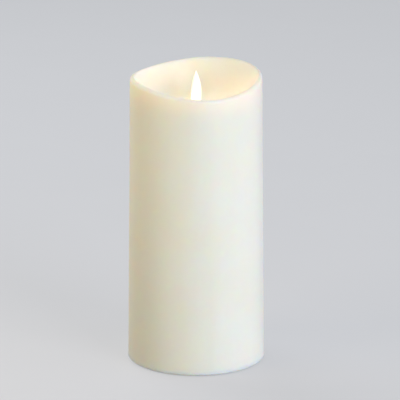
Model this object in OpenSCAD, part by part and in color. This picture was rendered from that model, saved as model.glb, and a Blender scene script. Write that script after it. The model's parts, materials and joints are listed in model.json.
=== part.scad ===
// Flameless LED pillar candle.
// A hollow wax pillar stands over a plastic tower. The tower carries a leaf-shaped flame that
// hangs on a wire, the coil that nudges it and the LED that lights it. Two C cells sit in the base.
// Origin: centre of the base, on the surface that the candle stands on. +Z is up, -Y is the front.

/* [Wax pillar] */
// Radius of the wax at its foot
base_r = 52.4; // [51:0.1:56]
// Radius of the wax at its rim
top_r = 49.9; // [49.5:0.1:51]
// Mean height of the rim's crest
rim_h = 220; // [216:1:250]
// How far the rim leans up towards the back
rim_tilt = 4.5; // [0:0.1:6]
// Direction that the rim leans up towards
rim_tilt_angle = 80; // [0:1:360]
// Height of the two broad waves in the rim
rim_sway = 2.1; // [0:0.1:3]
// Direction of a broad wave's crest
rim_sway_angle = 30; // [0:1:180]
// Height of the three small waves in the rim
rim_ripple = 0.5; // [0:0.1:1.5]
// Direction of a small wave's crest
rim_ripple_angle = -29; // [-60:1:60]
// Thickness of the wax wall
wax_wall = 6.2; // [5.6:0.1:6.4]
// Depth of the bowl below the rim's mean height
bowl_depth = 27; // [24:0.5:29]

/* [Flame] */
// Greatest width of the flame
flame_w = 8.2; // [6:0.1:9]
// Greatest thickness of the flame
flame_t = 3.4; // [2:0.1:4]
// Height of the flame above its stem
flame_h = 30; // [24:0.5:30.5]
// Diameter of the wire that the flame hangs on
wire_d = 0.6; // [0.4:0.1:0.8]

/* [Battery bay] */
// Diameter of a C cell
cell_d = 26.2; // [25:0.1:26.4]
// Length of a C cell with its positive nub
cell_l = 50; // [48:0.1:50]

/* [Base] */
// Thickness of the base plate
plate_t = 3; // [2.8:0.1:3.2]
// Diameter of a foot pad
foot_d = 10; // [8:0.5:11]
// Travel of the switch knob between two of its three positions
switch_step = 2; // [1:0.1:2]

/* [Smoothness] */
// Number of sides around the wax pillar
wax_sides = 72; // [48:12:96]

/* [Hidden] */
$fn = 64;

// Fits
gap = 0.2;            // between moulded pieces
pin_gap = 0.05;       // radial, running on a pin or wire
screw_gap = 0.03;     // radial, around a screw's shaft
wall = 1.6;           // moulded walls
shell_wall = 2;       // walls of the inner tower
cut = 1;              // how far a cutting shape runs on past what it cuts

// Wax pillar
wax_z = 0.8;                              // the wax ends just above the table
wax_edge = 1.2;                           // round of the lower edge
rim_round = 2.8;                          // round of the rim's outer edge
bore_r = base_r - wax_wall;
cavity_top_r = top_r - wax_wall;
wax_taper = (base_r - top_r) / (rim_h - wax_z);
bowl_z = rim_h - bowl_depth;              // floor of the bowl
bowl_lip = 2;                             // how far the crest stays level inwards
bowl_flat = 24;                           // how far the floor stays level outwards
bowl_steps = 10;
hole_r = 8.9;                             // hole in the bowl's floor
roof_z = bowl_z - 6;                      // underside of the wax around the hole

// Base
foot_t = 3;
foot_sink = 1;                            // depth of a foot pad's recess
plate_z = foot_t - foot_sink;
plate_top = plate_z + plate_t;
plate_r = bore_r - 0.4;
foot_pitch_r = 38.5;
foot_angles = [50, 130, 230, 310];
lug_pitch_r = 39.5;
lug_angles = [20, 160, 200, 340];
ring_top = plate_top + 11;
ring_wall = 2.4;
lug_r = 3.8;
lug_reach = ring_wall + 2;                // from a lug's screw into the ring
lug_top = plate_top + 9;

// Screws
screw_r = 1.3;
screw_head_r = 2.6;
screw_head_h = 1.3;
base_screw_l = 9;
case_screw_l = 9;
core_screw_l = 11;
shell_screw_l = 7;
switch_screw_l = 4.5;
screw_seat_z = plate_z + screw_head_h + 0.1;  // seats of the screws that come up from below
screw_tip_room = 0.6;                     // free depth past a screw's tip

// Battery bay
nub_r = 3;
nub_h = 1.5;
contact_t = 0.4;
spring_h = 3.8;
bay_r = cell_d / 2 + 0.6;
cell_x = bay_r;
case_r = bay_r + wall;
opening_r = bay_r + gap;
door_t = 1.6;
door_z = plate_z + gap;
door_top = door_z + door_t;
door_r = opening_r + 1.1;
bridge_top = door_top + contact_t;
right_cell_z = bridge_top;
left_cell_z = bridge_top + spring_h;
case_roof_z = left_cell_z + cell_l + contact_t;
case_top = case_roof_z + shell_wall;
case_flange_r = case_r + 1.7;
case_flange_t = 2.5;
case_boss_r = 4;
case_boss_h = 9;
case_boss_reach = case_r + 3.7;
case_boss_x = cell_x + case_boss_reach * cos(60);
case_boss_y = case_boss_reach * sin(60);
core_boss_r = 3.2;                        // bosses under the roof, for the tower's screws
core_boss_h = 9;
core_hole_h = 7.5;
gusset_x = 8;
gusset_t = 1.6;
gusset_h = 16;
gusset_edge_h = 3;
divider_t = 1.2;                          // ribs that keep the two cells apart
divider_y = 5;
divider_z = plate_top + 6;
contact_l = 11;
contact_w = 10;
tab_x = 5;                                // solder tabs stand this far from the axis
tab_w = 2;
tab_h = 3;
tab_slot_t = 1;
spring_turns = 3;
spring_wire_r = 0.4;
spring_foot_r = 4.6;
spring_head_r = 2.6;

// Battery door hinge and snap
hinge_y = -(door_r + 2.5);
hinge_z = plate_z + 1.3;
knuckle_r = 1.3;
hinge_pin_r = 0.7;
hinge_half = 9.5;                         // half width of the hinge's pocket
hinge_pocket_r = 1.8;                     // from the pin's axis to the pocket's outer side
hinge_pin_half = hinge_half + 2;
hinge_relief = 0.4;                       // extra room beside the door's edge at the hinge
knuckle_x = [-8.5, 4.5];                  // near ends of the door's two knuckles
knuckle_w = 4;
snap_w = 7;
snap_t = 1.2;
snap_y = opening_r - 0.4;                 // outer face of the snap's leg
snap_nose = 0.7;
snap_top = plate_top + 1.6;
snap_pocket_gap = 0.5;
grip_half = 6;                            // grip grooves across the door
grip_pitch = 1.6;
grip_w = 0.8;
grip_depth = 0.4;
scoop_r = 5;                              // fingernail scoop beside the door
scoop_depth = 1.2;

// Slide switch
switch_y = 31;
switch_l = 12.6;
switch_w = 6.6;
switch_h = 4.5;
switch_skin = 0.5;
switch_travel = 2 * switch_step;
knob_l = 3.6;
knob_w = 2.8;
knob_z = plate_z + 0.3;
knob_groove_w = 0.5;
knob_groove_pitch = 1.1;
knob_groove_depth = 0.4;
slider_l = 6;
slider_w = 5.2;
slider_z = plate_top + switch_skin + gap;
slider_h = 1.8;
slot_l = knob_l + switch_travel + 0.8;    // the knob's slot in the base plate
slot_w = knob_w + 0.6;
dish_r = slot_l / 2 + 2;                  // shallow dish around the slot
dish_depth = 0.8;
board_t = 1.6;
switch_board_z = plate_top + switch_h;
switch_board_l = 26;
switch_board_w = 9;
terminal_pitch = 3;
terminal_r = 0.5;
terminal_y = switch_y + 2;
switch_boss_x = 10;
switch_boss_r = 2.4;

// Inner tower
core_r = 20;
core_z = case_top;
core_top = roof_z - 0.5;
core_flange_r = 26;
core_flange_t = 3;
core_screw_pitch_r = 23.2;
core_screw_angles = [45, 135, 225, 315];
ear_x = 22.5;
ear_half = 2.8;
ear_t = 4;
ear_h = 8;
ear_z = [core_z + 24, core_top - 28];
ridge_h = 2;                              // ridges above and below the control board
lead_hole_z = core_z + 12;
lead_hole_r = 3;

// Flame engine
pivot_z = bowl_z - 25;
collar_r = hole_r - 0.3;
collar_bore_r = collar_r - 1.2;
collar_top = bowl_z + 1.2;
collar_flange_r = 11;
tip_z = rim_h + 5;
flame_z = tip_z - flame_h;
flame_widest = flame_z + 0.4 * flame_h;
flame_fullness = 1.9;                     // higher makes the upper part fuller
stem_w = 3;
stem_t = 1.6;
hub_r = 2;
magnet_r = 4;
magnet_t = 4;
magnet_z = pivot_z - 28;
board_z = magnet_z - 12.6;
board_top = board_z + board_t;
board_r = core_r - shell_wall - 0.6;
groove_r = 16;
bobbin_r = 8;
bobbin_h = 8;
bobbin_flange = 1;
coil_r = 7.6;
barrel_r = 4;
barrel_bore_r = 2;
seat_r = magnet_r + 0.4;                  // disc at the foot of the flame's stem
seat_t = 1.2;

// LED: its tip lies just under the collar and it leans towards the flame.
// The LED, its holder and its leads are drawn at the front and then turned about the axis.
led_r = 2.5;
led_l = 8.6;
led_turn = -32;
led_lean = 20;
led_tip = [0, -7.2, pivot_z + 12.4];
led_pin_x = 1.27;
led_pin_r = 0.25;
led_pin_l = 3.4;
led_flange = 0.4;
led_flange_h = 1;
led_holder_wall = 1.6;
led_arm_w = 6;

// Leads: their ends and bends, each smoothed into one curve
lead_r = 0.6;
thin_lead_r = 0.45;
lead_sides = 8;
lead_steps = 4;
battery_lead_points = [
    [tab_x, 0, case_top + 3],
    [tab_x, 0, case_top + 5],
    [6, 1, case_top + 9],
    [9, 4, case_top + 16],
    [12, 4, case_top + 32],
    [11, 3, board_z - 12],
    [10, 2, board_z - 4],
    [10, 2, board_z - 2],
    [10, 2, board_z]
];
switch_lead_points = [
    [0, terminal_y, switch_board_z + board_t + 1],
    [0, terminal_y, switch_board_z + board_t + 3],
    [0, terminal_y, switch_board_z + board_t + 5],
    [0, 30, 24],
    [0, 29, 45],
    [0, 28.5, core_z - 1],
    [0, 24, lead_hole_z - 3],
    [0, 19, lead_hole_z],
    [0, 14, lead_hole_z + 6],
    [0, 12, lead_hole_z + 22],
    [0, 12, board_z - 12],
    [0, 12, board_z - 2],
    [0, 12, board_z]
];
led_lead_points = [
    led_tip - (led_l + led_pin_l) * [0, sin(led_lean), cos(led_lean)],
    [0, -13, pivot_z - 4],
    [0, -14.5, pivot_z - 13],
    [0, -14.5, board_top + 11],
    [0, -13, board_top + 4],
    [0, -13, board_top + 2],
    [0, -13, board_top]
];
coil_lead_points = [
    [coil_r, 0, board_top + 4],
    [coil_r + 1.4, 0, board_top + 3.6],
    [coil_r + 2.6, 0, board_top + 2],
    [coil_r + 2.8, 0, board_top]
];

// ---------------------------------------------------------------- shared shapes

module box(low, high) {
    translate(low) cube(high - low);
}

// Block that stands centred on z = 0
module block(size) {
    translate([-size[0] / 2, -size[1] / 2, 0]) cube(size);
}

module disc(r, z0, z1) {
    translate([0, 0, z0]) cylinder(r = r, h = z1 - z0);
}

module ring(r_out, r_in, z0, z1) {
    difference() {
        disc(r_out, z0, z1);
        disc(r_in, z0 - cut, z1 + cut);
    }
}

// Two round ends at x = +-half, joined by a straight middle
module oblong(r, half, z0, z1) {
    for (side = [-1, 1])
        translate([side * half, 0, 0]) disc(r, z0, z1);
    box([-half, -r, z0], [half, r, z1]);
}

// Children repeated on a circle
module around(r, angles) {
    for (a = angles)
        rotate(a) translate([r, 0, 0]) children();
}

// Children repeated in the four quadrants
module quadrants(x, y) {
    for (side_x = [-1, 1], side_y = [-1, 1])
        translate([side_x * x, side_y * y, 0]) children();
}

// Pan head screw: the head's seat lies at z = 0 and the shaft points down
module screw(length) {
    disc(screw_head_r, 0, screw_head_h);
    disc(screw_r, -length, 0);
}

function unit(v) = v / norm(v);

// Catmull-Rom curve through a list of points
function curve_point(p, i, t) =
    let (a = p[max(i - 1, 0)], b = p[i], c = p[i + 1], d = p[min(i + 2, len(p) - 1)])
    0.5 * (2 * b + (c - a) * t + (2 * a - 5 * b + 4 * c - d) * t ^ 2 + (3 * b - a - 3 * c + d) * t ^ 3);
function curve(p, steps) = concat(
    [for (i = [0:len(p) - 2], k = [0:steps - 1]) curve_point(p, i, k / steps)],
    [p[len(p) - 1]]
);

// One ring of a tube around point i of a path, kept square to the path
function tube_ring(path, i, r, sides, across) =
    let (
        ahead = unit(path[min(i + 1, len(path) - 1)] - path[max(i - 1, 0)]),
        u = unit(cross(ahead, across)),
        v = cross(ahead, u)
    )
    [for (k = [0:sides - 1]) path[i] + r * (cos(360 * k / sides) * u + sin(360 * k / sides) * v)];

// Triangles of a closed skin over rings that all have the same number of points
function skin_faces(rings, sides) = concat(
    [for (i = [0:rings - 2], k = [0:sides - 1])
        let (n = (k + 1) % sides)
        each [
            [i * sides + k, (i + 1) * sides + k, (i + 1) * sides + n],
            [i * sides + k, (i + 1) * sides + n, i * sides + n]
        ]],
    [[for (k = [0:sides - 1]) k]],
    [[for (k = [sides - 1:-1:0]) (rings - 1) * sides + k]]
);

// Round tube along a path. No stretch of the path may run along the vector across.
module tube(path, r, sides, across) {
    polyhedron(
        points = [for (i = [0:len(path) - 1]) each tube_ring(path, i, r, sides, across)],
        faces = skin_faces(len(path), sides)
    );
}

// ---------------------------------------------------------------- wax pillar

function rim_z(a) = rim_h
    + rim_tilt * cos(a - rim_tilt_angle)
    + rim_sway * cos(2 * (a - rim_sway_angle))
    + rim_ripple * cos(3 * (a - rim_ripple_angle));

function wax_r(z) = base_r - (z - wax_z) * wax_taper;

function arc_point(r, z, round, angle) = [r + round * cos(angle), z + round * sin(angle)];

// The bowl's section: level at the crest, steep below it and level again at the hole
function bowl_point(crest_r, crest_z, t) =
    let (
        high = (1 - t) ^ 3 + 3 * (1 - t) ^ 2 * t,
        r = crest_r - 3 * (1 - t) ^ 2 * t * bowl_lip
            - (3 * (1 - t) * t ^ 2 + t ^ 3) * (crest_r - hole_r) + 3 * (1 - t) * t ^ 2 * bowl_flat
    )
    [r, bowl_z + (crest_z - bowl_z) * high];

// Closed section of the wax at angle a: foot, outer wall, rim, bowl, hole, cavity
function wax_section(a) =
    let (crest_z = rim_z(a), crest_r = wax_r(crest_z) - rim_round)
    concat(
        [[bore_r, wax_z]],
        [for (t = [0:0.25:1]) arc_point(base_r - wax_edge, wax_z + wax_edge, wax_edge, 90 * t - 90)],
        [for (t = [0:0.2:1]) arc_point(crest_r, crest_z - rim_round, rim_round, 90 * t)],
        [for (i = [1:bowl_steps]) bowl_point(crest_r, crest_z, i / bowl_steps)],
        [
            [hole_r, roof_z],
            [core_r, roof_z],
            [cavity_top_r - 5.5, bowl_z + 4],
            [cavity_top_r, bowl_z + 10]
        ]
    );

module wax_shell() {
    sections = [for (i = [0:wax_sides - 1]) wax_section(360 * i / wax_sides)];
    steps = len(sections[0]);
    points = [for (i = [0:wax_sides - 1], p = sections[i])
        let (a = 360 * i / wax_sides)
        [p[0] * cos(a), p[0] * sin(a), p[1]]];
    faces = [for (i = [0:wax_sides - 1], k = [0:steps - 1])
        let (here = i * steps, there = (i + 1) % wax_sides * steps, n = (k + 1) % steps)
        each [
            [here + k, here + n, there + n],
            [here + k, there + n, there + k]
        ]];
    color("ivory") polyhedron(points = points, faces = faces);
}

// ---------------------------------------------------------------- base

module mounting_ring() color("gainsboro") {
    difference() {
        union() {
            ring(plate_r, plate_r - ring_wall, plate_top, ring_top);
            around(lug_pitch_r, lug_angles) {
                disc(lug_r, plate_top, lug_top);
                box([0, -lug_r, plate_top], [lug_reach, lug_r, lug_top]);
            }
        }
        around(lug_pitch_r, lug_angles)
            disc(screw_r + screw_gap, plate_top - cut, screw_seat_z + base_screw_l + screw_tip_room);
    }
}

// Recess and through hole for a screw that comes up from below
module screw_seat() {
    disc(screw_head_r + gap, plate_z - cut, screw_seat_z);
    disc(screw_r + screw_gap, plate_z, plate_top + cut);
}

module base_plate() color("gainsboro") {
    difference() {
        union() {
            disc(plate_r, plate_z, plate_top);
            switch_screw_places() disc(switch_boss_r, plate_top, switch_board_z);
        }
        oblong(opening_r, cell_x, plate_z - cut, plate_top + cut);
        // the door's rebate, with more room on the hinge side, where the door's edge swings in
        oblong(door_r + gap, cell_x, plate_z - cut, door_top);
        translate([0, -hinge_relief, 0]) oblong(door_r + gap, cell_x, plate_z - cut, door_top);
        around(foot_pitch_r, foot_angles) disc(foot_d / 2 + gap / 2, plate_z - cut, plate_z + foot_sink);
        around(lug_pitch_r, lug_angles) screw_seat();
        quadrants(case_boss_x, case_boss_y) screw_seat();
        translate([0, switch_y, plate_z - cut]) block([slot_l, slot_w, plate_t + 2 * cut]);
        translate([0, switch_y, 0]) disc(dish_r, plate_z - cut, plate_z + dish_depth);
        translate([0, door_r + 2, 0]) disc(scoop_r, plate_z - cut, plate_z + scoop_depth);
        // hinge pocket and the holes that hold the pin's ends
        box([-hinge_half, hinge_y - hinge_pocket_r, plate_z - cut], [hinge_half, -door_r, plate_top + cut]);
        hinge_rod(hinge_pin_r + screw_gap, hinge_pin_half + gap / 2);
        switch_screw_places() disc(screw_r + screw_gap, plate_top, switch_board_z + cut);
    }
}

// Plain rod on the hinge's axis, half its length each side of the middle
module hinge_rod(r, half) {
    translate([-half, hinge_y, hinge_z]) rotate([0, 90, 0]) cylinder(r = r, h = 2 * half);
}

module foot_pads() color("dimgray") {
    around(foot_pitch_r, foot_angles) disc(foot_d / 2, 0, foot_t);
}

module base_screws() color("silver") {
    around(lug_pitch_r, lug_angles)
        translate([0, 0, screw_seat_z]) mirror([0, 0, 1]) screw(base_screw_l);
}

// ---------------------------------------------------------------- battery bay

module battery_case() color("whitesmoke") {
    difference() {
        union() {
            oblong(case_r, cell_x, plate_top, case_top);
            oblong(case_flange_r, cell_x, plate_top, plate_top + case_flange_t);
            disc(core_flange_r + 1, case_roof_z, case_top);
            quadrants(case_boss_x, case_boss_y) disc(case_boss_r, plate_top, plate_top + case_boss_h);
            around(core_screw_pitch_r, core_screw_angles)
                disc(core_boss_r, case_roof_z - core_boss_h, case_top);
            for (side_x = [-1, 1], side_y = [-1, 1])
                scale([1, side_y, 1]) translate([side_x * gusset_x, 0, 0]) case_gusset();
        }
        oblong(bay_r, cell_x, plate_top - cut, case_roof_z);
        quadrants(case_boss_x, case_boss_y)
            disc(screw_r + screw_gap, plate_top - cut, screw_seat_z + case_screw_l + screw_tip_room);
        around(core_screw_pitch_r, core_screw_angles)
            disc(screw_r + screw_gap, case_roof_z - core_hole_h, case_top + cut);
        // slots for the solder tabs and the pocket that the door's snap hooks into
        for (side = [-1, 1])
            translate([side * tab_x, 0, case_roof_z - cut])
                block([tab_slot_t, 2 * tab_w, shell_wall + 2 * cut]);
        box([-snap_w / 2 - snap_pocket_gap, 0, plate_top - cut],
            [snap_w / 2 + snap_pocket_gap, bay_r + 1.1, snap_top + 0.8]);
    }
    for (side = [-1, 1])
        scale([1, side, 1])
            box([-divider_t / 2, divider_y, divider_z], [divider_t / 2, bay_r, case_roof_z]);
}

// Web under the overhanging roof
module case_gusset() {
    outer_r = core_flange_r - 2;
    translate([gusset_t / 2, 0, 0]) rotate([0, -90, 0])
        linear_extrude(gusset_t)
            polygon([
                [case_roof_z, bay_r],
                [case_roof_z, outer_r],
                [case_roof_z - gusset_edge_h, outer_r],
                [case_roof_z - gusset_h, case_r],
                [case_roof_z - gusset_h, bay_r]
            ]);
}

module case_screws() color("silver") {
    quadrants(case_boss_x, case_boss_y)
        translate([0, 0, screw_seat_z]) mirror([0, 0, 1]) screw(case_screw_l);
}

// C cell standing on its flat end at z = 0
module cell() {
    disc(cell_d / 2, 0, cell_l - nub_h);
    disc(nub_r, cell_l - nub_h, cell_l);
}

module battery_cell_left() color("darkgoldenrod") {
    translate([-cell_x, 0, left_cell_z]) cell();
}

module battery_cell_right() color("darkgoldenrod") {
    translate([cell_x, 0, right_cell_z + cell_l]) mirror([0, 0, 1]) cell();
}

// Conical contact spring standing on z = 0
module contact_spring() {
    steps = 16 * spring_turns;
    path = [for (i = [0:steps])
        let (
            t = i / steps,
            a = 360 * spring_turns * t,
            r = spring_foot_r + (spring_head_r - spring_foot_r) * t
        )
        [r * cos(a), r * sin(a), spring_wire_r + (spring_h - 2 * spring_wire_r) * t]];
    tube(path, spring_wire_r, lead_sides, [0, 0, 1]);
}

// Plate under the case's roof, with a solder tab that stands up through the roof
module roof_contact() {
    box([tab_x - contact_t / 2, -contact_w / 2, case_roof_z - contact_t],
        [cell_x + contact_l / 2, contact_w / 2, case_roof_z]);
    box([tab_x - contact_t / 2, -tab_w + gap, case_roof_z - contact_t],
        [tab_x + contact_t / 2, tab_w - gap, case_top + tab_h]);
}

module positive_contact() color("silver") {
    mirror([1, 0, 0]) roof_contact();
}

module negative_contact() color("silver") {
    roof_contact();
    translate([cell_x, 0, case_roof_z - contact_t + 0.05]) mirror([0, 0, 1]) contact_spring();
}

module battery_door() color("gainsboro") {
    difference() {
        union() {
            oblong(door_r, cell_x, door_z, door_top);
            for (x = knuckle_x) {
                box([x, hinge_y, door_z], [x + knuckle_w, -door_r + 1, door_top]);
                translate([x, hinge_y, hinge_z]) rotate([0, 90, 0]) cylinder(r = knuckle_r, h = knuckle_w);
            }
            door_snap();
        }
        hinge_rod(hinge_pin_r + pin_gap, hinge_half);
        // three grip grooves at the finger scoop
        for (i = [0:2])
            translate([0, door_r - grip_pitch * (i + 1), door_z - cut])
                block([2 * grip_half, grip_w, grip_depth + cut]);
    }
}

// Leg inside the opening, with a nose over the plate's edge
module door_snap() {
    nose_low = 0.15;
    nose_high = 0.5;
    leg_h = snap_top - plate_top;
    box([-snap_w / 2, snap_y - snap_t, door_top - 0.5], [snap_w / 2, snap_y, snap_top]);
    translate([-snap_w / 2, snap_y, plate_top]) rotate([90, 0, 90])
        linear_extrude(snap_w)
            polygon([[0, nose_low], [snap_nose, nose_low], [snap_nose, nose_high], [0, leg_h]]);
}

module hinge_pin() color("silver") {
    hinge_rod(hinge_pin_r, hinge_pin_half);
}

module bridge_contact() color("silver") {
    translate([0, 0, door_top]) block([2 * cell_x + contact_l, contact_w, contact_t]);
}

module bridge_spring() color("silver") {
    translate([-cell_x, 0, bridge_top]) contact_spring();
}

// ---------------------------------------------------------------- slide switch

// Children at the two screws of the switch
module switch_screw_places() {
    for (side = [-1, 1])
        translate([side * switch_boss_x, switch_y, 0]) children();
}

// Children at the three terminals of the switch
module terminal_places() {
    for (i = [-1:1])
        translate([i * terminal_pitch, terminal_y, 0]) children();
}

module switch_body() color("silver") {
    inner_h = switch_h - 1.4 - switch_skin;
    translate([0, switch_y, plate_top]) difference() {
        block([switch_l, switch_w, switch_h]);
        translate([0, 0, switch_skin])
            block([switch_l - 2 * switch_skin, switch_w - 2 * switch_skin, inner_h]);
        translate([0, 0, -cut])
            block([knob_l + switch_travel + 2 * gap, knob_w + 2 * gap, 2 * cut]);
    }
}

module switch_terminals() color("silver") {
    terminal_places() disc(terminal_r, switch_board_z, switch_board_z + board_t + 1);
}

module switch_board() color("seagreen") {
    board_top_z = switch_board_z + board_t;
    difference() {
        translate([0, switch_y, switch_board_z]) block([switch_board_l, switch_board_w, board_t]);
        terminal_places() disc(terminal_r + screw_gap, switch_board_z - cut, board_top_z + cut);
        switch_screw_places() disc(screw_r + screw_gap, switch_board_z - cut, board_top_z + cut);
    }
}

module switch_screws() color("silver") {
    switch_screw_places() translate([0, 0, switch_board_z + board_t]) screw(switch_screw_l);
}

// The knob rests at the ON end of its slot and slides along +X
module switch_knob() color("dimgray") {
    knob_h = plate_top + switch_skin + 1 - knob_z;
    translate([-switch_travel / 2, switch_y, 0]) difference() {
        union() {
            translate([0, 0, slider_z]) block([slider_l, slider_w, slider_h]);
            translate([0, 0, knob_z]) block([knob_l, knob_w, knob_h]);
        }
        for (i = [-1:1])
            translate([i * knob_groove_pitch, 0, knob_z - cut])
                block([knob_groove_w, 2 * knob_w, knob_groove_depth + cut]);
    }
}

// ---------------------------------------------------------------- inner tower

// Children at the four ears that join the two shells, at mid height and on the split
module ear_places() {
    for (z = ear_z, side = [-1, 1])
        translate([side * ear_x, 0, z + ear_h / 2]) children();
}

// Rod along Y, centred on the axis
module cross_rod(r, l) {
    rotate([90, 0, 0]) cylinder(r = r, h = l, center = true);
}

// Whole tower; the two shells are its front and rear halves
module tower() {
    inner_r = core_r - shell_wall;
    difference() {
        union() {
            ring(core_r, inner_r, core_z, core_top);
            ring(core_flange_r, inner_r, core_z, core_z + core_flange_t);
            disc(core_r, core_top - shell_wall, core_top);
            // the control board sits in the groove between these two ridges
            ring(inner_r + 0.5, groove_r, board_z - ridge_h, board_z);
            ring(inner_r + 0.5, groove_r, board_top, board_top + ridge_h);
            ear_places() translate([0, 0, -ear_h / 2]) block([2 * ear_half, 2 * ear_t, ear_h]);
        }
        disc(collar_r + gap / 2, core_top - shell_wall - cut, core_top + cut);
        around(core_screw_pitch_r, core_screw_angles)
            disc(screw_r + screw_gap, core_z - cut, core_z + core_flange_t + cut);
        ear_places() translate([0, -ear_t - cut, 0]) rotate([-90, 0, 0])
            cylinder(r = screw_r + screw_gap, h = cut + shell_screw_l + screw_tip_room / 2);
        translate([0, 0, pivot_z]) cross_rod(wire_d / 2 + screw_gap, 3 * core_r);
        translate([0, core_r, lead_hole_z]) cross_rod(lead_hole_r, 10);
    }
}

// Everything on one side of the split at y = 0
module half_space(side) {
    far = 60;
    box([-far, min(side * far, 0), core_z - cut], [far, max(side * far, 0), core_top + cut]);
}

module core_front_shell() color("darkslategray") {
    intersection() {
        tower();
        half_space(-1);
    }
}

module core_rear_shell() color("darkslategray") {
    intersection() {
        tower();
        half_space(1);
    }
}

module core_screws() color("silver") {
    around(core_screw_pitch_r, core_screw_angles)
        translate([0, 0, core_z + core_flange_t]) screw(core_screw_l);
}

module shell_screws() color("silver") {
    ear_places() translate([0, -ear_t, 0]) rotate([90, 0, 0]) screw(shell_screw_l);
}

module nozzle_collar() color("ivory") {
    flange_top = core_top - shell_wall - gap / 2;
    flange_z = flange_top - 2;
    difference() {
        union() {
            disc(collar_r, flange_z, collar_top);
            disc(collar_flange_r, flange_z, flange_top);
        }
        disc(collar_bore_r, flange_z - cut, collar_top + cut);
    }
}

// ---------------------------------------------------------------- flame engine

// Half width of the flame at height z: round below its widest place, drawn out above it
function flame_half(z) = flame_w / 2 * (z < flame_widest
    ? sqrt(1 - ((flame_widest - z) / (flame_widest - flame_z)) ^ 2)
    : 1 - ((z - flame_widest) / (tip_z - flame_widest)) ^ flame_fullness);

// The leaf's foot and tip each stop at a very small flat, left by the factor trim
module flame_leaf() {
    sides = 24;
    low_steps = 7;
    high_steps = 9;
    trim = 0.995;
    low_h = (flame_widest - flame_z) * trim;
    high_h = (tip_z - flame_widest) * trim;
    levels = concat(
        [for (i = [0:low_steps - 1]) flame_widest - low_h * cos(90 * i / low_steps)],
        [for (i = [0:high_steps]) flame_widest + high_h * i / high_steps]
    );
    points = [for (z = levels, k = [0:sides - 1])
        let (half = flame_half(z), a = 360 * k / sides)
        [half * cos(a), half * flame_t / flame_w * sin(a), z]];
    polyhedron(points = points, faces = skin_faces(len(levels), sides));
}

module flame_blade() color("white") {
    stem_z = magnet_z + magnet_t;
    flame_leaf();
    difference() {
        union() {
            translate([0, 0, stem_z]) block([stem_w, stem_t, flame_z + 3 - stem_z]);
            translate([0, 0, pivot_z]) cross_rod(hub_r, stem_t);
            disc(seat_r, stem_z, stem_z + seat_t);
        }
        translate([0, 0, pivot_z]) cross_rod(wire_d / 2 + pin_gap, 2 * stem_t);
    }
}

module flame_magnet() color("silver") {
    disc(magnet_r, magnet_z, magnet_z + magnet_t);
}

module suspension_wire() color("silver") {
    translate([0, 0, pivot_z]) cross_rod(wire_d / 2, 2 * core_r - 1);
}

module coil_bobbin() color("black") {
    difference() {
        union() {
            disc(bobbin_r, board_top, board_top + bobbin_flange);
            disc(barrel_r, board_top, board_top + bobbin_h);
            disc(bobbin_r, board_top + bobbin_h - bobbin_flange, board_top + bobbin_h);
        }
        disc(barrel_bore_r, board_top - cut, board_top + bobbin_h + cut);
    }
}

module drive_coil() color("peru") {
    ring(coil_r, barrel_r, board_top + bobbin_flange, board_top + bobbin_h - bobbin_flange);
}

module control_board() color("seagreen") {
    disc(board_r, board_z, board_top);
}

// Chip in a flat package, with four leads on each side
module controller_chip() color("black") {
    package = [8, 5, 1.6];
    lead = [1, 0.4, 0.8];
    pitch = 1.27;
    translate([0, 12, board_top]) {
        block(package);
        for (i = [-1.5:1.5], side = [-1, 1])
            translate([side * (package[0] / 2 + 0.4), pitch * i, 0]) block(lead);
    }
}

module oscillator_crystal() color("silver") {
    translate([-11, -6, board_top]) rotate(60) block([5, 3, 1.8]);
}

module board_resistors() color("black") {
    pitch = 2.6;
    for (i = [0:2])
        translate([-12.2, -0.6 + pitch * i, board_top]) block([3.2, 1.6, 0.6]);
}

// Can on a square foot
module board_capacitor() color("midnightblue") {
    can_r = 2.5;
    can_h = 5.7;
    foot = [4.8, 4.8, 0.8];
    translate([10.4, -6.2, board_top]) {
        block(foot);
        disc(can_r, foot[2], foot[2] + can_h);
    }
}

// Children in the LED's own frame: tip at the origin, light along +Z
module led_frame() {
    translate(led_tip) rotate([-led_lean, 0, 0]) children();
}

module led_emitter() color("lightyellow") rotate(led_turn) led_frame() {
    disc(led_r, -led_l, -led_r);
    disc(led_r + led_flange, -led_l, -led_l + led_flange_h);
    translate([0, 0, -led_r]) sphere(r = led_r);
}

module led_pins() color("silver") rotate(led_turn) led_frame() {
    for (side = [-1, 1])
        translate([side * led_pin_x, 0, 0]) disc(led_pin_r, -led_l - led_pin_l, -led_l);
}

// Sleeve around the LED, with an arm to the tower's wall
module led_holder() color("whitesmoke") rotate(led_turn) {
    inner_r = core_r - shell_wall - pin_gap;
    run_on = 5;
    difference() {
        union() {
            led_frame() disc(led_r + led_holder_wall, -led_l + led_flange_h, -led_r - 1.4);
            intersection() {
                box([-led_arm_w / 2, -core_r, led_tip[2] - 8],
                    [led_arm_w / 2, led_tip[1] - 3, led_tip[2] - 4.6]);
                disc(inner_r, board_top, core_top);
            }
        }
        led_frame() disc(led_r + screw_gap, -led_l - run_on, run_on);
        led_frame() disc(led_r + led_flange + 0.1, -led_l - run_on, -led_l + led_flange_h);
    }
}

// ---------------------------------------------------------------- leads

module battery_lead() {
    tube(curve(battery_lead_points, lead_steps), lead_r, lead_sides, [0, 1, 0]);
}

module battery_lead_positive() color("firebrick") {
    mirror([1, 0, 0]) battery_lead();
}

module battery_lead_negative() color("black") {
    battery_lead();
}

// Three leads side by side, drawn together where they pass into the tower
module switch_leads() color("white") {
    for (i = [-1:1]) {
        spread = [for (p = switch_lead_points) [i * (abs(p[1] - 20) > 8.5 ? terminal_pitch : 1.5), 0, 0]];
        tube(curve(switch_lead_points + spread, lead_steps), thin_lead_r, lead_sides, [1, 0, 0]);
    }
}

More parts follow.
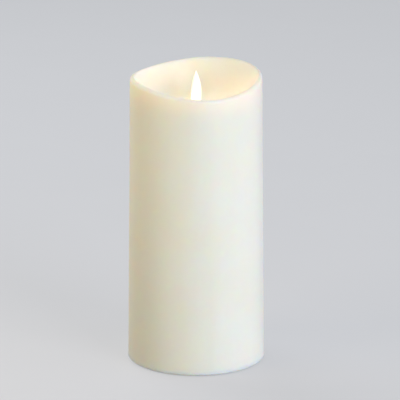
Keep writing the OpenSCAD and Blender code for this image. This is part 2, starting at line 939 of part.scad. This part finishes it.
module led_leads() color("yellow") rotate(led_turn) {
    for (side = [-1, 1])
        translate([side * led_pin_x, 0, 0])
            tube(curve(led_lead_points, lead_steps), thin_lead_r, lead_sides, [1, 0, 0]);
}

module coil_leads() color("peru") {
    for (side = [-1, 1])
        translate([0, side * 1.5, 0])
            tube(curve(coil_lead_points, lead_steps), 0.2, lead_sides, [0, 1, 0]);
}

wax_shell();
mounting_ring();
base_plate();
foot_pads();
base_screws();
battery_case();
case_screws();
battery_cell_left();
battery_cell_right();
positive_contact();
negative_contact();
battery_door();
bridge_contact();
bridge_spring();
hinge_pin();
switch_body();
switch_terminals();
switch_board();
switch_screws();
switch_knob();
core_front_shell();
core_rear_shell();
core_screws();
shell_screws();
nozzle_collar();
flame_blade();
flame_magnet();
suspension_wire();
coil_bobbin();
drive_coil();
control_board();
controller_chip();
oscillator_crystal();
board_resistors();
board_capacitor();
led_emitter();
led_pins();
led_holder();
battery_lead_positive();
battery_lead_negative();
switch_leads();
led_leads();
coil_leads();
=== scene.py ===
"""The looks of the flameless pillar candle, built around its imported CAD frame.

Lengths are in metres. The front of the candle faces -Y, and +Z is up.
"""
import json
import math

import bpy
import numpy as np
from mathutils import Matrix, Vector, noise


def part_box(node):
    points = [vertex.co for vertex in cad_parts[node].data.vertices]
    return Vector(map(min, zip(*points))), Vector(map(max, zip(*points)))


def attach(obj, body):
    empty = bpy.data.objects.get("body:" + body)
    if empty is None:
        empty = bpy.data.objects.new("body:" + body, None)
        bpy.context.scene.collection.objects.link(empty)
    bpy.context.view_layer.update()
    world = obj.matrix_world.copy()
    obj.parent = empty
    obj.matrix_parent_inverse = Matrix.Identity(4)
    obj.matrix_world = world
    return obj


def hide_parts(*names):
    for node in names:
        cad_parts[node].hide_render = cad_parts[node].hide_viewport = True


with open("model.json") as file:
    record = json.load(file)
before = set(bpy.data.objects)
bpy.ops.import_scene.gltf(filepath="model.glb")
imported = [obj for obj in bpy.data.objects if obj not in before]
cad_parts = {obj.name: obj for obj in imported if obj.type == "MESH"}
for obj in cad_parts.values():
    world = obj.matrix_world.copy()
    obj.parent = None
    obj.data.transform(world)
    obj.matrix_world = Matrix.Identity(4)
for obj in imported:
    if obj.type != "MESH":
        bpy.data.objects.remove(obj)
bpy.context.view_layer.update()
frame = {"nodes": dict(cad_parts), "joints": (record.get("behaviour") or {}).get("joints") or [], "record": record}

MM = 0.001
NODES = frame["nodes"]
RECORD = frame["record"]
SLOT_COLOUR = {m["slot"]: tuple(m["base_color"]) for m in RECORD["materials"]}
NODE_SLOT = {p["node"]: p["material_slot"] for p in RECORD["subparts"]}
FLAME_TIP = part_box("flame_blade")[1].z
FLAME_FOOT = FLAME_TIP - 30 * MM    # where the leaf of the blade starts on its stem


# ------------------------------------------------------------------ camera, lights and stage

CAMERA_DISTANCE = 2.05          # along the floor, to the candle's axis
CAMERA_SIDE = 0.0029            # to the right of the candle
CAMERA_HEIGHT = 0.717
CAMERA_PITCH = math.radians(16.14)
LENS = 253.2                    # in millimetres, as is the width of the sensor
SENSOR_WIDTH = 36.0
LIGHT_TARGET = Vector((0, 0, 0.11))
ROOM_LIGHT = 0.14               # strength of the even light from all round
GLOW_R = 2 * MM                 # size of the two lamps that stand for the blade's glow
GLOW_AWAY = 6.5 * MM            # from the blade, to the front and to the back
PALE_GREY = (0.58, 0.595, 0.62)
FLOOR_TONE = 0.42               # share of the pale grey that the floor reflects
FLOOR_GLOW = 0.75               # share that it gives off by itself, which keeps it even
FLOOR_R = 12.0
FLOOR_SIDES = 96


def link(thing):
    bpy.context.scene.collection.objects.link(thing)
    return thing


def add_camera():
    data = bpy.data.cameras.new("camera")
    data.lens = LENS
    data.sensor_width = SENSOR_WIDTH
    camera = link(bpy.data.objects.new("camera", data))
    camera.location = (CAMERA_SIDE, -CAMERA_DISTANCE, CAMERA_HEIGHT)
    camera.rotation_euler = (math.pi / 2 - CAMERA_PITCH, 0.0, 0.0)
    bpy.context.scene.camera = camera


def add_softbox(name, azimuth, elevation, distance, size, power, colour):
    """A square light that looks at the candle, at angles in degrees. Azimuth 0 is the front, 90 the right."""
    a = math.radians(azimuth)
    e = math.radians(elevation)
    away = Vector((math.sin(a) * math.cos(e), -math.cos(a) * math.cos(e), math.sin(e)))
    data = bpy.data.lights.new(name, "AREA")
    data.shape = "SQUARE"
    data.size = size
    data.energy = power
    data.color = colour
    light = link(bpy.data.objects.new(name, data))
    light.location = LIGHT_TARGET + away * distance
    light.rotation_euler = (-away).to_track_quat("-Z", "Y").to_euler()


def add_glow(name, y, z, power, colour):
    """A small lamp inside the bowl, for the light that the blade throws on the wax."""
    data = bpy.data.lights.new(name, "POINT")
    data.shadow_soft_size = GLOW_R
    data.energy = power
    data.color = colour
    light = link(bpy.data.objects.new(name, data))
    light.location = (0, y, z)


def add_world():
    """Even light from all round. The camera and glossy reflections see brighter, pale grey paper there."""
    world = bpy.data.worlds.new("studio")
    world.use_nodes = True
    nodes, links = world.node_tree.nodes, world.node_tree.links
    light = nodes["Background"]
    light.inputs["Color"].default_value = (1, 1, 1, 1)
    light.inputs["Strength"].default_value = ROOM_LIGHT
    paper = nodes.new("ShaderNodeBackground")
    paper.inputs["Color"].default_value = (*PALE_GREY, 1)
    path = nodes.new("ShaderNodeLightPath")
    seen = nodes.new("ShaderNodeMath")
    seen.operation = "MAXIMUM"
    links.new(path.outputs["Is Camera Ray"], seen.inputs[0])
    links.new(path.outputs["Is Glossy Ray"], seen.inputs[1])
    choice = nodes.new("ShaderNodeMixShader")
    links.new(seen.outputs["Value"], choice.inputs["Fac"])
    links.new(light.outputs["Background"], choice.inputs[1])
    links.new(paper.outputs["Background"], choice.inputs[2])
    links.new(choice.outputs["Shader"], nodes["World Output"].inputs["Surface"])
    bpy.context.scene.world = world


def add_floor():
    """A pale floor that throws no light back on the candle."""
    floor = mesh_object("floor", *disc_mesh(FLOOR_R, FLOOR_SIDES), paper_material("floor_paper"))
    floor.visible_diffuse = False
    floor.visible_glossy = False


# ------------------------------------------------------------------ meshes

def mesh_object(name, points, faces, material):
    mesh = bpy.data.meshes.new(name)
    mesh.from_pydata([tuple(p) for p in points], [], faces)
    mesh.shade_smooth()
    mesh.materials.append(material)
    mesh.update()
    return link(bpy.data.objects.new(name, mesh))


def disc_mesh(radius, sides):
    turn = 2 * math.pi / sides
    points = [(radius * math.cos(turn * i), radius * math.sin(turn * i), 0.0) for i in range(sides)]
    return points, [tuple(range(sides))]


def ring_faces(rings, sides, closed):
    """Quads between rings of points. With closed, the last ring runs on into the first one."""
    faces = []
    for i in range(rings if closed else rings - 1):
        j = (i + 1) % rings
        for k in range(sides):
            n = (k + 1) % sides
            faces.append((i * sides + k, i * sides + n, j * sides + n, j * sides + k))
    return faces


def arc(r, z, size, start, end, steps):
    """Points on a round corner with its middle at (r, z), from angle start to end in degrees."""
    for i in range(steps + 1):
        angle = math.radians(start + (end - start) * i / steps)
        yield r + size * math.cos(angle), z + size * math.sin(angle)


def line(start, end, steps):
    """Points between two ends, without the ends."""
    for i in range(1, steps):
        t = i / steps
        yield start[0] + (end[0] - start[0]) * t, start[1] + (end[1] - start[1]) * t


# ------------------------------------------------------------------ material building blocks

class Shader:
    """A new material and the few node recipes that the materials below share."""

    def __init__(self, name):
        self.material = bpy.data.materials.new(name)
        self.material.use_nodes = True
        self.nodes = self.material.node_tree.nodes
        self.links = self.material.node_tree.links
        self.surface = self.nodes["Principled BSDF"]

    def node(self, kind, **inputs):
        made = self.nodes.new("ShaderNode" + kind)
        for name, value in inputs.items():
            made.inputs[name.replace("_", " ")].default_value = value
        return made

    def place(self, stretch=(1, 1, 1)):
        """The piece's own coordinates, so that a pattern stays on the piece as it moves."""
        mapping = self.node("Mapping", Scale=stretch)
        self.links.new(self.node("TexCoord").outputs["Object"], mapping.inputs["Vector"])
        return mapping.outputs["Vector"]

    def noise(self, scale, detail, stretch=(1, 1, 1)):
        texture = self.node("TexNoise", Scale=scale, Detail=detail)
        self.links.new(self.place(stretch), texture.inputs["Vector"])
        return texture.outputs["Fac"]

    def height(self, low, high):
        """0 at height low and 1 at height high."""
        split = self.node("SeparateXYZ")
        self.links.new(self.place(), split.inputs["Vector"])
        return self.spread(split.outputs["Z"], 0.0, 1.0, low, high)

    def spread(self, value, to_low, to_high, from_low=0.0, from_high=1.0):
        scaled = self.node("MapRange", From_Min=from_low, From_Max=from_high, To_Min=to_low, To_Max=to_high)
        self.links.new(value, scaled.inputs["Value"])
        return scaled.outputs["Result"]

    def ramp(self, value, *stops):
        """A colour for each value; stops are (position, colour)."""
        made = self.node("ValToRGB")
        elements = made.color_ramp.elements
        while len(elements) < len(stops):
            elements.new(0.5)
        for element, (position, colour) in zip(elements, stops):
            element.position = position
            element.color = (*colour, 1)
        self.links.new(value, made.inputs["Fac"])
        return made.outputs["Color"]

    def set(self, **inputs):
        """Sets inputs of the surface: a number, a colour or another node's output."""
        for name, value in inputs.items():
            socket = self.surface.inputs[name.replace("_", " ")]
            if isinstance(value, bpy.types.NodeSocket):
                self.links.new(value, socket)
            elif socket.type == "RGBA":
                socket.default_value = (*value, 1)
            else:
                socket.default_value = value

    def bump(self, height, distance, strength, edge=0.0):
        """Relief from a height; edges are also rounded off by the radius edge."""
        made = self.node("Bump", Distance=distance, Strength=strength)
        self.links.new(height, made.inputs["Height"])
        if edge:
            self.links.new(self.node("Bevel", Radius=edge).outputs["Normal"], made.inputs["Normal"])
        self.links.new(made.outputs["Normal"], self.surface.inputs["Normal"])


def shade(colour, factor):
    return tuple(min(1.0, c * factor) for c in colour)


# ------------------------------------------------------------------ materials

def paper_material(name):
    """Pale studio paper, with a little light of its own so that it stays even."""
    shader = Shader(name)
    tone = shade(PALE_GREY, FLOOR_TONE)
    fibre = shader.noise(scale=9, detail=4)
    shader.set(Base_Color=shader.ramp(fibre, (0.4, shade(tone, 0.985)), (0.6, tone)), Roughness=0.85)
    shader.set(Specular_IOR_Level=0.1, Emission_Color=PALE_GREY, Emission_Strength=FLOOR_GLOW)
    return shader.material


WAX_CLOUD = (0.92, 0.885, 0.79)  # paler patches in the wax
WAX_DEPTH = 12 * MM             # how far light sinks in


def wax_material(name, colour):
    """Cast wax: light sinks in, with pale clouds, faint upright streaks and a soft, uneven sheen."""
    shader = Shader(name)
    cloud = shader.noise(scale=24, detail=5)
    streak = shader.noise(scale=60, detail=3, stretch=(1, 1, 0.06))
    tone = shader.node("Math")
    tone.operation = "MULTIPLY"
    shader.links.new(cloud, tone.inputs[0])
    shader.links.new(streak, tone.inputs[1])
    shader.set(Base_Color=shader.ramp(tone.outputs["Value"], (0.12, colour), (0.42, WAX_CLOUD)))
    shader.set(Subsurface_Weight=1.0, Subsurface_Radius=(1.0, 0.62, 0.34), Subsurface_Scale=WAX_DEPTH)
    shader.set(Roughness=shader.spread(cloud, 0.44, 0.60), IOR=1.44, Specular_IOR_Level=0.35)
    shader.bump(shader.noise(scale=900, detail=6), distance=0.05 * MM, strength=0.5)
    return shader.material


def flame_material(name, colour):
    """The lit blade, its light painted on as emission: near white, and warmer and dimmer below the collar as
    painted shade.
    """
    shader = Shader(name)
    # Painted light: the blade's emission stands in for the light it catches, and the darker, warmer colour below
    # the collar is painted shade.
    glow = shader.ramp(shader.height(FLAME_FOOT - 6 * MM, FLAME_FOOT + 6 * MM),
                       (0.0, (0.30, 0.16, 0.06)), (0.6, (1.0, 0.86, 0.66)), (1.0, (1.0, 0.95, 0.88)))
    grain = shader.noise(scale=500, detail=3)
    shader.set(Base_Color=colour, Roughness=shader.spread(grain, 0.4, 0.5))
    shader.set(Emission_Color=glow, Emission_Strength=0.16)
    shader.bump(grain, distance=0.03 * MM, strength=0.3)
    return shader.material


def moulded_material(name, colour):
    """Injection-moulded plastic with a fine spark-eroded grain."""
    shader = Shader(name)
    cloud = shader.noise(scale=70, detail=3)
    shader.set(Base_Color=shader.ramp(cloud, (0.35, shade(colour, 0.93)), (0.65, colour)))
    shader.set(Roughness=shader.spread(cloud, 0.40, 0.54))
    shader.bump(shader.noise(scale=1600, detail=4), distance=0.06 * MM, strength=0.6, edge=0.25 * MM)
    return shader.material


def rubber_material(name, colour):
    """Matte rubber with a speckle of dust."""
    shader = Shader(name)
    speckle = shader.noise(scale=2200, detail=6)
    shader.set(Base_Color=shader.ramp(speckle, (0.45, colour), (0.72, shade(colour, 1.9))))
    shader.set(Roughness=0.85, Specular_IOR_Level=0.3)
    shader.bump(speckle, distance=0.12 * MM, strength=0.7, edge=0.3 * MM)
    return shader.material


def sleeve_material(name, colour):
    """Smooth soft insulation, as on a lead or around a capacitor."""
    shader = Shader(name)
    ripple = shader.noise(scale=350, detail=2)
    shader.set(Base_Color=shader.ramp(ripple, (0.3, shade(colour, 0.85)), (0.7, colour)))
    shader.set(Roughness=shader.spread(ripple, 0.30, 0.42), Coat_Weight=0.2)
    shader.bump(ripple, distance=0.08 * MM, strength=0.4)
    return shader.material


def metal_material(name, colour):
    """Plated steel with faint brushing and dull patches."""
    shader = Shader(name)
    brushing = shader.noise(scale=500, detail=4, stretch=(1, 0.08, 1))
    patch = shader.noise(scale=90, detail=3)
    shader.set(Base_Color=shader.ramp(brushing, (0.3, shade(colour, 0.86)), (0.7, colour)))
    shader.set(Metallic=1.0, Roughness=shader.spread(patch, 0.24, 0.44))
    shader.bump(brushing, distance=0.03 * MM, strength=0.5, edge=0.1 * MM)
    return shader.material


CELL_FOOT = 0.022               # bare steel up to here, as a share of the cell's height
CELL_BAND = (0.86, 0.89)        # pale band around the cell
CELL_SHOULDER = 0.955           # bare steel from here up


def jacket_material(name, colour):
    """A battery's foil jacket, plain, with bare steel ends and a pale band around one end."""
    shader = Shader(name)
    low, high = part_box("battery_cell_left")
    along = shader.height(low.z, high.z)
    steel = SLOT_COLOUR["nickel"]
    pale = shade(colour, 1.5)
    bands = shader.ramp(along, (0.0, steel), (CELL_FOOT, colour), (CELL_BAND[0], pale),
                        (CELL_BAND[1], colour), (CELL_SHOULDER, steel))
    bands.node.color_ramp.interpolation = "CONSTANT"
    patch = shader.noise(scale=300, detail=3)
    shader.set(Base_Color=bands, Metallic=0.85, Roughness=shader.spread(patch, 0.25, 0.38))
    shader.bump(shader.noise(scale=120, detail=2), distance=0.06 * MM, strength=0.3, edge=0.3 * MM)
    return shader.material


def laminate_material(name, colour):
    """Circuit board: green resist with slightly raised tracks under it."""
    shader = Shader(name)
    tracks = shader.node("TexBrick", Scale=260, Mortar_Size=0.12, Mortar_Smooth=0.3)
    shader.links.new(shader.place(), tracks.inputs["Vector"])
    tracks.inputs["Color1"].default_value = (*shade(colour, 0.8), 1)
    tracks.inputs["Color2"].default_value = (*colour, 1)
    tracks.inputs["Mortar"].default_value = (*shade(colour, 1.6), 1)
    shader.set(Base_Color=tracks.outputs["Color"], Roughness=0.3, Coat_Weight=0.4)
    shader.bump(tracks.outputs["Fac"], distance=0.04 * MM, strength=0.6)
    return shader.material


def winding_material(name, colour):
    """Enamelled copper wire, wound in close turns, with painted shade in the grooves between them."""
    shader = Shader(name)
    turns = shader.node("TexWave", Scale=1300, Distortion=0.4)
    turns.bands_direction = "Z"
    shader.links.new(shader.place(), turns.inputs["Vector"])
    # Painted shade: the colour goes darker in the grooves between the turns.
    shader.set(Base_Color=shader.ramp(turns.outputs["Fac"], (0.0, shade(colour, 0.35)), (0.5, colour)))
    shader.set(Metallic=0.9, Roughness=0.25, Coat_Weight=0.5)
    shader.bump(turns.outputs["Fac"], distance=0.1 * MM, strength=0.8)
    return shader.material


def led_material(name, colour):
    """Warm, lit epoxy, brightest in its dome."""
    shader = Shader(name)
    low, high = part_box("led_emitter")
    glow = shader.ramp(shader.height(low.z, high.z), (0.2, (0.5, 0.25, 0.08)), (0.8, (1.0, 0.72, 0.38)))
    ripple = shader.noise(scale=200, detail=2)
    shader.set(Base_Color=colour, Roughness=shader.spread(ripple, 0.08, 0.16), Coat_Weight=0.5)
    shader.set(Emission_Color=glow, Emission_Strength=2.5)
    return shader.material


MATERIAL_MAKERS = {
    "wax": wax_material, "flame_plastic": flame_material, "led_epoxy": led_material,
    "ivory_plastic": moulded_material, "base_plastic": moulded_material, "case_plastic": moulded_material,
    "tower_plastic": moulded_material, "black_plastic": moulded_material, "foot_rubber": rubber_material,
    "zinc_steel": metal_material, "nickel": metal_material, "magnet_nickel": metal_material,
    "contact_brass": metal_material, "cell_jacket": jacket_material, "board_laminate": laminate_material,
    "copper_winding": winding_material, "capacitor_sleeve": sleeve_material, "lead_red": sleeve_material,
    "lead_black": sleeve_material, "lead_white": sleeve_material, "lead_yellow": sleeve_material,
}


# ------------------------------------------------------------------ wax pillar

EDGE_ROUND = 1.2 * MM           # lower edge
RIM_ROUND = 2.8 * MM            # outer edge of the rim
BOWL_LIP = 2 * MM               # the bowl leaves the crest level for about this far
BOWL_FLAT = 24 * MM             # and comes level again this far from its hole
HOLE_R = 8.9 * MM
HOLE_ROUND = 0.6 * MM
WALL = 6.2 * MM
ROOF_R = 20 * MM                # flat part of the wax's underside, around the hole
SHOULDER_IN = 5.5 * MM          # the underside then slopes to this far from the wall of the bore,
SHOULDER_RISE = 4 * MM          # this far above the bowl's floor,
BORE_TOP_RISE = 10 * MM         # and meets that wall this far above it
WAX_SIDES = 256
RIM_SECTORS = 72                # the rim's height is taken in this many places
RIM_WAVES = 3
HOLE_BAND = 0.2 * MM            # points this close to the hole belong to it
RIM_BAND = 6 * MM               # points this close to the top belong to the rim
SWELL = 0.16 * MM               # height of the broad swells in the cast surface
SWELLS_PER_METRE = 22
SWELL_SQUASH = 0.5              # on heights, which makes the broad swells twice as tall as they are wide
FINE_SWELL = 0.04 * MM          # height of the finer ones on top of them
FINE_SWELLS_PER_METRE = 90
FINE_SWELL_SHIFT = Vector((7, 3, 1))  # so that the two patterns don't line up
SWELL_LIFT = 0.5                # share of a swell that also moves the surface up
SWELL_MARGIN = 0.18 * MM        # taken off them all, so that none stands out of the CAD shell's outer wall
STILL_BAND = 1 * MM             # no swells this close to the hole and the foot


def crest_waves(points):
    """Mean height of the rim's crest, and the waves in it, measured on the CAD shell."""
    angles = np.degrees(np.arctan2(points[:, 1], points[:, 0])) % 360
    sector = np.round(angles * RIM_SECTORS / 360).astype(int) % RIM_SECTORS
    heights = np.array([points[sector == i, 2].max() for i in range(RIM_SECTORS)])
    return np.fft.rfft(heights)[:RIM_WAVES + 1] / RIM_SECTORS


def wax_frame():
    """The few sizes that the wax pillar is built from, read off the CAD shell."""
    points = np.array([v.co for v in NODES["wax_shell"].data.vertices])
    low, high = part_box("wax_shell")
    radius = np.hypot(points[:, 0], points[:, 1])
    near_hole = radius < HOLE_R + HOLE_BAND
    near_top = points[:, 2] > high.z - RIM_BAND
    waves = crest_waves(points)
    return {
        "foot_r": high.x, "foot_z": low.z, "rim_r": radius[near_top].max(), "rim_z": waves[0].real,
        "waves": waves, "floor_z": points[near_hole, 2].max(), "roof_z": points[near_hole, 2].min(),
    }


def crest_height(wax, angle):
    height = wax["rim_z"]
    for k in range(1, RIM_WAVES + 1):
        wave = wax["waves"][k]
        height += 2 * (wave.real * math.cos(k * angle) - wave.imag * math.sin(k * angle))
    return height


def bowl_curve(crest, floor, steps):
    """From the crest down to the hole: level at both ends and steep between them."""
    a, d = Vector(crest), Vector(floor)
    b = a - Vector((BOWL_LIP, 0))
    c = d + Vector((BOWL_FLAT, 0))
    for i in range(1, steps):
        t = i / steps
        yield a * (1 - t) ** 3 + b * 3 * (1 - t) ** 2 * t + c * 3 * (1 - t) * t ** 2 + d * t ** 3


def wax_section(wax, angle):
    """Closed outline of the wax at one angle, as (radius, height)."""
    foot_r, foot_z, floor_z, roof_z = wax["foot_r"], wax["foot_z"], wax["floor_z"], wax["roof_z"]
    crest_z = crest_height(wax, angle)
    taper = (foot_r - wax["rim_r"]) / (wax["rim_z"] - foot_z)
    crest_r = foot_r - (crest_z - foot_z) * taper - RIM_ROUND
    cavity_r = wax["rim_r"] - WALL
    bore = (foot_r - WALL, foot_z)
    foot = list(arc(foot_r - EDGE_ROUND, foot_z + EDGE_ROUND, EDGE_ROUND, -90, 0, steps=5))
    rim = list(arc(crest_r, crest_z - RIM_ROUND, RIM_ROUND, 0, 90, steps=9))
    hole = list(arc(HOLE_R + HOLE_ROUND, floor_z - HOLE_ROUND, HOLE_ROUND, 90, 180, steps=4))
    bowl = [tuple(p) for p in bowl_curve(rim[-1], hole[0], steps=30)]
    roof = [
        (HOLE_R, roof_z),
        (ROOF_R, roof_z),
        (cavity_r - SHOULDER_IN, floor_z + SHOULDER_RISE),
        (cavity_r, floor_z + BORE_TOP_RISE),
    ]
    underside = list(line(bore, foot[0], steps=3))
    wall = list(line(foot[-1], rim[0], steps=70))
    bore_wall = list(line(roof[-1], bore, steps=12))
    return [bore] + underside + foot + wall + rim + bowl + hole + roof + bore_wall


def wax_swell(x, y, z):
    """How far the cast surface stands off its ideal shape: broad soft swells, with finer ones on top."""
    broad = noise.noise(Vector((x, y, z * SWELL_SQUASH)) * SWELLS_PER_METRE)
    fine = noise.noise(Vector((x, y, z)) * FINE_SWELLS_PER_METRE + FINE_SWELL_SHIFT)
    return SWELL * broad + FINE_SWELL * fine


def build_wax(material):
    """The pillar, as one closed skin of upright outlines set around the axis."""
    wax = wax_frame()
    points = []
    for i in range(WAX_SIDES):
        a = 2 * math.pi * i / WAX_SIDES
        for r, z in wax_section(wax, a):
            free = r > HOLE_R + STILL_BAND and z > wax["foot_z"] + STILL_BAND
            swell = wax_swell(r * math.cos(a), r * math.sin(a), z) - SWELL_MARGIN if free else 0.0
            points.append(((r + swell) * math.cos(a), (r + swell) * math.sin(a), z + SWELL_LIFT * swell))
    faces = ring_faces(WAX_SIDES, len(points) // WAX_SIDES, closed=True)
    pillar = mesh_object("wax_pillar", points, faces, material)
    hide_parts("wax_shell")
    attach(pillar, "candle")


# ------------------------------------------------------------------ flame

LEAF_HALF_W = 4.1 * MM
LEAF_HALF_T = 1.7 * MM
STEM_HALF_W = 1.5 * MM
STEM_HALF_T = 0.8 * MM
HUB_R = 2.0 * MM
SEAT_T = 1.2 * MM
SEAT_EDGE = 0.2 * MM
LEAF_WIDEST = 0.4               # share of the leaf's height, from its foot
LEAF_FULLNESS = 1.9             # 1 would make the leaf's sides straight up to its tip
LEAF_END = 0.999                # share of the leaf's height past which it gets no narrower
BLADE_SIDES = 40
BLADE_RINGS = 60                # in the stem, and as many again in the leaf
LEAF_FOOT_TRIM = 0.05           # of the half turn that spaces the leaf's rings, left out at its foot
LEAF_TIP_TRIM = 0.03            # and at its tip, which keeps the end rings from being points


def leaf_size(t):
    """Half width of the leaf as a share of its greatest, from its foot (t = 0) to its tip (t = 1)."""
    if t < LEAF_WIDEST:
        return math.sqrt(max(0.0, 1 - (1 - t / LEAF_WIDEST) ** 2))
    return 1 - ((t - LEAF_WIDEST) / (1 - LEAF_WIDEST)) ** LEAF_FULLNESS


def blade_half_sizes(z, pivot_z):
    """Half width and half thickness of the blade at height z: the widest of its stem, hub and leaf."""
    t = min(LEAF_END, max(0.0, (z - FLAME_FOOT) / (FLAME_TIP - FLAME_FOOT)))
    leaf = leaf_size(t)
    stem = 1.0 if t < LEAF_WIDEST else 0.0
    hub = math.sqrt(max(0.0, HUB_R ** 2 - (z - pivot_z) ** 2))
    half_w = max(stem * STEM_HALF_W, hub, leaf * LEAF_HALF_W)
    half_t = max(stem * STEM_HALF_T, leaf * LEAF_HALF_T)
    return half_w, half_t


def build_flame(material):
    """The blade, from its seat on the magnet up to its tip, as one skin of oval rings."""
    low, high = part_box("flame_blade")
    pivot_z = next(joint["pos_m"][2] for joint in frame["joints"] if joint["name"] == "flame_swing")
    seat_r = high.x
    seat_top = low.z + SEAT_T
    rings = [
        (seat_r - SEAT_EDGE, seat_r - SEAT_EDGE, low.z),
        (seat_r, seat_r, low.z + SEAT_EDGE),
        (seat_r, seat_r, seat_top - SEAT_EDGE),
        (seat_r - SEAT_EDGE, seat_r - SEAT_EDGE, seat_top),
    ]
    stem = np.linspace(seat_top, FLAME_FOOT, BLADE_RINGS)
    turn = np.linspace(LEAF_FOOT_TRIM, math.pi - LEAF_TIP_TRIM, BLADE_RINGS)
    leaf = FLAME_FOOT + (FLAME_TIP - FLAME_FOOT) * (0.5 - 0.5 * np.cos(turn))
    rings += [(*blade_half_sizes(z, pivot_z), z) for z in np.concatenate([stem, leaf])]
    angles = [2 * math.pi * k / BLADE_SIDES for k in range(BLADE_SIDES)]
    points = [(half_w * math.cos(a), half_t * math.sin(a), z) for half_w, half_t, z in rings for a in angles]
    faces = ring_faces(len(rings), BLADE_SIDES, closed=False)
    faces.append(tuple(reversed(range(BLADE_SIDES))))
    faces.append(tuple(range(len(points) - BLADE_SIDES, len(points))))
    blade = mesh_object("lit_blade", points, faces, material)
    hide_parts("flame_blade")
    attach(blade, "flame")


# ------------------------------------------------------------------ putting it together

def dress_nodes(materials):
    """Gives each CAD node the material of its slot in the record."""
    for name, node in NODES.items():
        node.data.materials.clear()
        node.data.materials.append(materials[NODE_SLOT[name]])


def light_the_scene():
    """A key and a cool side light from the right, a warm fill from the left, a high light from behind,
    and two small lamps next to the blade for its glow.
    """
    add_world()
    add_softbox("key", 40, 11, distance=3.0, size=1.6, power=79.0, colour=(0.98, 0.955, 1.0))
    add_softbox("side", 75, 12, distance=3.0, size=1.6, power=19.0, colour=(0.74, 0.76, 1.0))
    add_softbox("fill", -65, 17, distance=0.6, size=0.42, power=1.85, colour=(1.0, 0.82, 0.58))
    add_softbox("back", -145, 50, distance=1.5, size=1.0, power=9.2, colour=(1.0, 0.98, 0.98))
    add_glow("glow_behind", GLOW_AWAY, FLAME_FOOT + 4 * MM, power=0.0108, colour=(1.0, 0.69, 0.46))
    add_glow("glow_before", -GLOW_AWAY, FLAME_FOOT + 2 * MM, power=0.0120, colour=(1.0, 0.86, 0.66))


add_camera()
add_floor()
light_the_scene()
materials = {slot: make(slot, SLOT_COLOUR[slot]) for slot, make in MATERIAL_MAKERS.items()}
dress_nodes(materials)
build_wax(materials["wax"])
build_flame(materials["flame_plastic"])
bpy.context.scene.view_settings.view_transform = "Standard"
